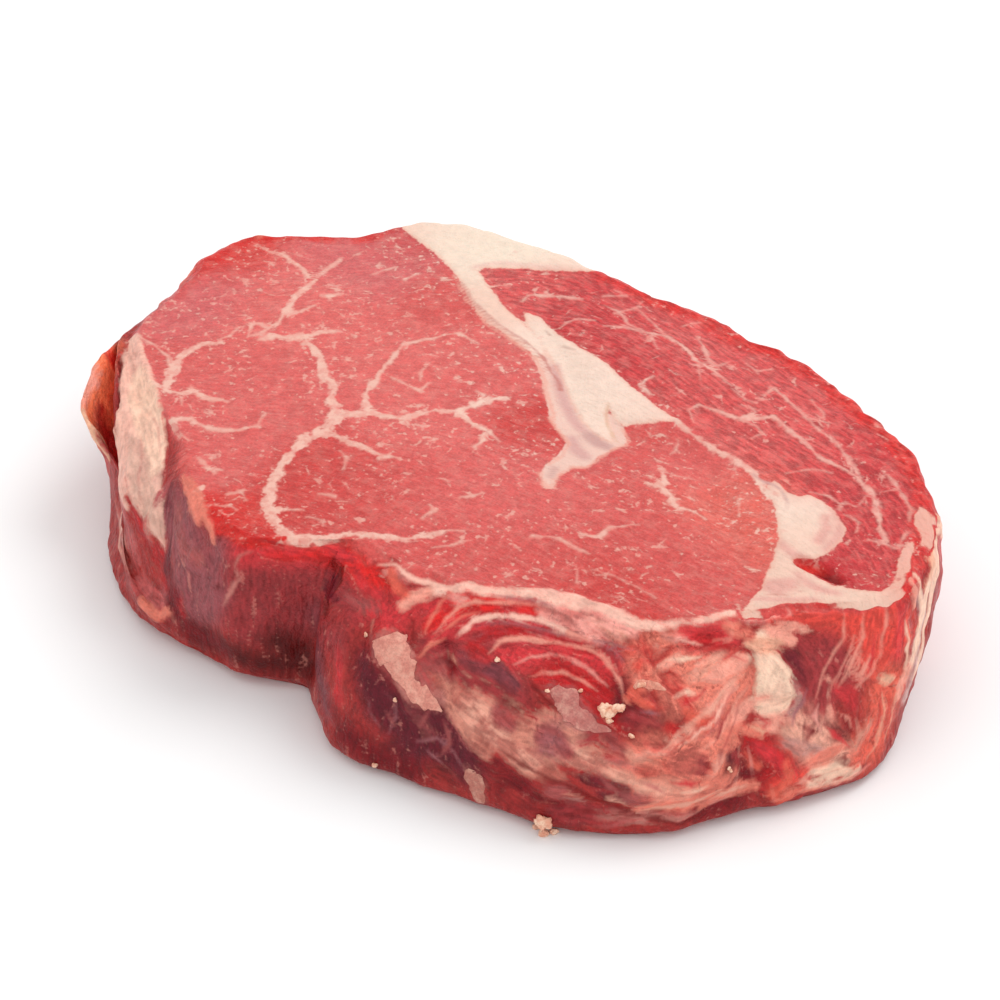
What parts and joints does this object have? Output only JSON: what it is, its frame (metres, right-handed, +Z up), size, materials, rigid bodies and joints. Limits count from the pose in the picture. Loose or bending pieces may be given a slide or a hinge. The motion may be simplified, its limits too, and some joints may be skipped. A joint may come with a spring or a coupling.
{
  "type": "raw ribeye steak",
  "caption": "Thick raw boneless ribeye steak, marbled red meat with a fat kernel between eye and cap, lying flat on its cut face.",
  "frame": {"origin": "middle of the steak's box in X and Y, on the plane of the underside", "axes": "+X along the steak's length towards the thick end, +Y towards the cap muscle, +Z up through the thickness"},
  "size_m": [0.1648, 0.1172, 0.0317],
  "materials": {
    "raw_meat": "moist satin"
  },
  "bodies": {
    "root": {"steak": "raw_meat"}
  },
  "joints": []
}
